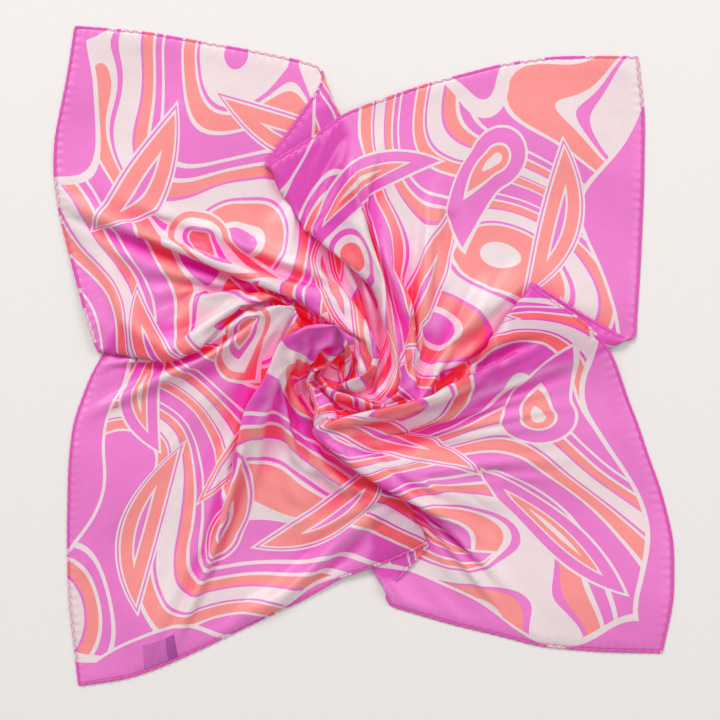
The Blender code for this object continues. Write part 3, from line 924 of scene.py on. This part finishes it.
def silk_material(name, groups, reverse):
    """Printed silk twill with a soft sheen; the reverse is the same print, paler and duller."""
    material, tree, shader = principled(
        name, Roughness=0.42 if reverse else 0.32, Sheen_Weight=0.25, Sheen_Roughness=0.4,
        Emission_Strength=FOLD_PAINTED_GLOW,
    )
    place = place_on_cloth(tree)
    colour = use_group(tree, groups["print"], {"Place": place})
    if reverse:
        colour = mix_colours(tree, REVERSE_FADE, colour, IVORY)
    # Grain is the threads' own tone; over the label the colour gets painted shade
    for effect, shade in (("grain", GRAIN_SHADE), ("label", LABEL_PAINTED_SHADE)):
        share = use_group(tree, groups[effect], {"Place": place})
        colour = mix_colours(tree, share, colour, shade, blend="MULTIPLY")
    # Painted shade from the layers below
    layers = node(tree, "ShaderNodeAttribute", attribute_name="layer_shade_mask").outputs["Fac"]
    deepening = REVERSE_LAYERS_PAINTED_SHADE if reverse else LAYERS_PAINTED_SHADE
    colour = use_group(tree, groups["glow"], {"Color": colour, "Depth": layers, "Deepening": deepening})
    # Painted shade in the folds
    depth = node(tree, "ShaderNodeAttribute", attribute_name="fold_shade_mask").outputs["Fac"]
    colour = use_group(tree, groups["glow"], {"Color": colour, "Depth": depth, "Deepening": FOLD_PAINTED_SHADE})
    tree.links.new(colour, shader.inputs["Base Color"])
    # Painted glow in the deep folds, as emission
    tree.links.new(mix_colours(tree, depth, BLACK, colour), shader.inputs["Emission Color"])
    sway = noise(tree, place, scale=13.0)[0]
    ripple = noise(tree, place, scale=36.0, detail=1.5)[0]
    puckers, twill = (use_group(tree, groups[effect], {"Place": place}) for effect in ("puckers", "twill"))
    normal = bump(tree, sway, strength=1.0, distance=0.011)
    normal = bump(tree, ripple, strength=0.45, distance=0.0025, under=normal)
    normal = bump(tree, puckers, strength=0.5, distance=0.0008, under=normal)
    normal = bump(tree, twill, strength=0.3, distance=0.00008, under=normal)
    tree.links.new(normal, shader.inputs["Normal"])
    return material


def hem_material(groups):
    """The rolled edge: the print beside it, deeper in colour by painted shade, as the roll is several layers
    thick.
    """
    material, tree, shader = principled("rolled_hem", Roughness=0.5, Sheen_Weight=0.2)
    place = node(tree, "ShaderNodeAttribute", attribute_name="flat_place").outputs["Vector"]
    colour = use_group(tree, groups["print"], {"Place": place})
    deepened = {"Color": colour, "Depth": HEM_PAINTED_SHADE, "Deepening": LAYERS_PAINTED_SHADE}
    colour = use_group(tree, groups["glow"], deepened)
    tree.links.new(colour, shader.inputs["Base Color"])
    twill = use_group(tree, groups["twill"], {"Place": place})
    tree.links.new(bump(tree, twill, strength=0.3, distance=0.0001), shader.inputs["Normal"])
    return material


def thread_material():
    """Pink sewing thread, with painted highlight scattered along its twist."""
    material, tree, shader = principled("hem_thread", Roughness=0.45, Sheen_Weight=0.3)
    place = node(tree, "ShaderNodeTexCoord").outputs["Object"]
    twist = node(tree, "ShaderNodeTexNoise", {"Vector": place, "Scale": 1800.0, "Detail": 1.0})
    colour = mix_colours(tree, twist.outputs[0], THREAD_PINK, THREAD_PAINTED_HIGHLIGHT)
    tree.links.new(colour, shader.inputs["Base Color"])
    return material


def label_material(groups):
    """Plain woven satin."""
    material, tree, shader = principled("label_satin", Base_Color=LABEL_WHITE, Roughness=0.45)
    weave = use_group(tree, groups["twill"], {"Place": place_on_cloth(tree)})
    tree.links.new(bump(tree, weave, strength=0.4, distance=0.0001), shader.inputs["Normal"])
    return material


# ---- the hem


HEM_INPUTS = {
    "Edge": "Geometry", "Material": "Material", "Pitch": STITCH_PITCH * MM, "Flatness": ROLL_FLATNESS,
}


def edge_loop(sheet):
    """The sheet's edge as a closed line of points, clockwise, with each point's place on the flat cloth."""
    cells = 2 * CELLS
    mesh = sheet.data
    uv = np.empty(len(mesh.loops) * 2, np.float32)
    mesh.uv_layers["flat_cloth"].data.foreach_get("uv", uv)
    flat = np.zeros((len(mesh.vertices), 2))
    flat[corner_points(mesh)] = uv.reshape(-1, 2)
    grid = np.rint(flat * cells).astype(int)
    at = np.empty((cells + 1) ** 2, int)
    at[grid[:, 1] * (cells + 1) + grid[:, 0]] = np.arange(len(grid))
    order = at[np.concatenate([row[:-1] for row in edge_rows(cells).values()])]
    count = len(order)
    line = bpy.data.meshes.new("hem_line")
    line.from_pydata(points_of(mesh)[order].tolist(), [(i, (i + 1) % count) for i in range(count)], [])
    places = np.column_stack([(flat[order] - 0.5) * SIDE * MM, np.zeros(count)])
    line.attributes.new("flat_place", "FLOAT_VECTOR", "POINT").data.foreach_set("vector", places.ravel())
    return line


def even_edge(tree, given):
    """The edge as a curve with evenly spaced points, and how many stitches along it each point is."""
    curve = node(tree, "GeometryNodeMeshToCurve", [given["Edge"]])
    step = calc(tree, "DIVIDE", given["Pitch"], given["Points in a stitch"])
    even = node(tree, "GeometryNodeResampleCurve", {"Curve": curve.outputs[0], "Length": step}, mode="LENGTH")
    along = node(tree, "GeometryNodeSplineParameter").outputs["Length"]
    return even.outputs[0], calc(tree, "DIVIDE", along, given["Pitch"])


def sweep(tree, given, result, curve, profile, size=None):
    """Ends the tree with the profile carried along the curve, as a real mesh with its material."""
    tube = node(tree, "GeometryNodeCurveToMesh", {"Curve": curve, "Profile Curve": profile, "Scale": size})
    real = node(tree, "GeometryNodeRealizeInstances", [tube.outputs[0]])
    inputs = {"Geometry": real.outputs[0], "Material": given["Material"]}
    tree.links.new(node(tree, "GeometryNodeSetMaterial", inputs).outputs[0], result)
    return tree


def roll_tree():
    """Geometry Nodes: a tube along the cloth's edge, pinched at each stitch."""
    inputs = {**HEM_INPUTS, "Radius": ROLL_RADIUS * MM, "Pinch": 0.2, "Points in a stitch": 7.0}
    tree, given, result = group_tree("roll_the_hem", inputs, "Hem", "Geometry", "GeometryNodeTree")
    even, stitches = even_edge(tree, given)
    swell = calc(tree, "ABSOLUTE", calc(tree, "SINE", calc(tree, "MULTIPLY", stitches, math.pi)))
    waist = calc(tree, "SUBTRACT", 1.0, given["Pinch"])
    share = calc(tree, "MULTIPLY_ADD", swell, given["Pinch"], waist)
    radius = calc(tree, "MULTIPLY", share, given["Radius"])
    level = node(tree, "GeometryNodeSetCurveNormal", [even], mode="Z_UP")
    circle = node(tree, "GeometryNodeCurvePrimitiveCircle", {"Resolution": 10, "Radius": 1.0}, mode="RADIUS")
    squash = node(tree, "ShaderNodeCombineXYZ", [1.0, given["Flatness"], 1.0])
    oval = node(tree, "GeometryNodeTransform", {"Geometry": circle.outputs[0], "Scale": squash.outputs[0]})
    return sweep(tree, given, result, level.outputs[0], oval.outputs[0], radius)


def stitch_tree():
    """Geometry Nodes: a thread that goes to and fro over the roll."""
    inputs = {**HEM_INPUTS, "Roll radius": ROLL_RADIUS * MM, "Thread radius": THREAD_RADIUS * MM}
    inputs.update({"Across": STITCH_ACROSS * MM, "Sunk": 0.3, "Points in a stitch": 8.0})
    tree, given, result = group_tree("stitch_the_hem", inputs, "Stitches", "Geometry", "GeometryNodeTree")
    even, stitches = even_edge(tree, given)
    wave = calc(tree, "SINE", calc(tree, "MULTIPLY", stitches, math.tau))
    swing = calc(tree, "MULTIPLY", wave, given["Across"])
    tangent = node(tree, "GeometryNodeInputTangent").outputs[0]
    across = vector_calc(tree, "NORMALIZE", vector_calc(tree, "CROSS_PRODUCT", tangent, (0.0, 0.0, 1.0)))
    reach = calc(tree, "MULTIPLY_ADD", given["Thread radius"], given["Sunk"], given["Roll radius"])
    left = calc(tree, "SUBTRACT", calc(tree, "MULTIPLY", reach, reach), calc(tree, "MULTIPLY", swing, swing))
    height = calc(tree, "SQRT", calc(tree, "MAXIMUM", left, 0.0))
    rise = node(tree, "ShaderNodeCombineXYZ", [0.0, 0.0, calc(tree, "MULTIPLY", height, given["Flatness"])])
    offset = vector_calc(tree, "ADD", scaled(tree, across, swing), rise.outputs[0])
    moved = node(tree, "GeometryNodeSetPosition", {"Geometry": even, "Offset": offset})
    inputs = {"Resolution": 5, "Radius": given["Thread radius"]}
    circle = node(tree, "GeometryNodeCurvePrimitiveCircle", inputs, mode="RADIUS")
    return sweep(tree, given, result, moved.outputs[0], circle.outputs[0])


def grown(name, line, tree, material):
    """An object whose mesh a Geometry Nodes tree makes from the edge line."""
    obj = new_object(name, line.copy())
    maker = obj.modifiers.new("maker", "NODES")
    maker.node_group = tree
    socket = next(item for item in tree.interface.items_tree if item.name == "Material")
    maker[socket.identifier] = material
    return finished_mesh(obj)


# ---- stage


def add_light(name, place, energy, size):
    data = bpy.data.lights.new(name, "AREA")
    data.energy = energy
    data.size = size
    lamp = new_object(name, data)
    lamp.location = place
    lamp.rotation_euler = (-Vector(place)).to_track_quat("-Z", "Y").to_euler()


def add_stage():
    floor = level_square("table", 3.0)
    floor.data.materials.append(principled("table", Base_Color=FLOOR_GREY, Roughness=0.7)[0])
    add_light("key", place=(-1.35, 2.8, 2.4), energy=90.0, size=1.4)
    add_light("fill", place=(2.2, 1.2, 2.1), energy=27.0, size=1.8)
    world = bpy.data.worlds.new("studio")
    world.use_nodes = True
    sky = world.node_tree.nodes["Background"]
    sky.inputs["Color"].default_value = SKY
    sky.inputs["Strength"].default_value = 0.58
    bpy.context.scene.world = world
    camera = new_object("camera", bpy.data.cameras.new("camera"))
    camera.location = CAMERA_PLACE
    camera.data.lens = camera.data.sensor_width * CAMERA_PLACE[2] / VIEW_WIDTH
    bpy.context.scene.camera = camera
    bpy.context.scene.view_settings.view_transform = "Standard"


def main():
    groups = {
        "print": print_group(), "label": painted_label_shade_group(), "puckers": pucker_group(), "twill": twill_group(),
        "grain": grain_group(), "glow": painted_shade_group(),
    }
    sheet = smooth_sheet(simulated_cloth())
    mark_painted_fold_shade(sheet)
    mark_painted_layer_shade(sheet)
    line = edge_loop(sheet)
    face, back = silk_material("silk_print", groups, False), silk_material("silk_reverse", groups, True)
    scarf = add_scarf(sheet, face, back)
    hem = grown("rolled_edge", line, roll_tree(), hem_material(groups))
    stitches = grown("zigzag_stitches", line, stitch_tree(), thread_material())
    label = add_label(sheet, label_material(groups))
    bpy.data.objects.remove(sheet)

    for piece in (scarf, hem, stitches, label):
        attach(piece, "root")
    nodes = list(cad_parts)
    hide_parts(*[name for name in nodes if not name.startswith("hem_")])
    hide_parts(*[name for name in nodes if name.startswith("hem_")])
    add_stage()


main()
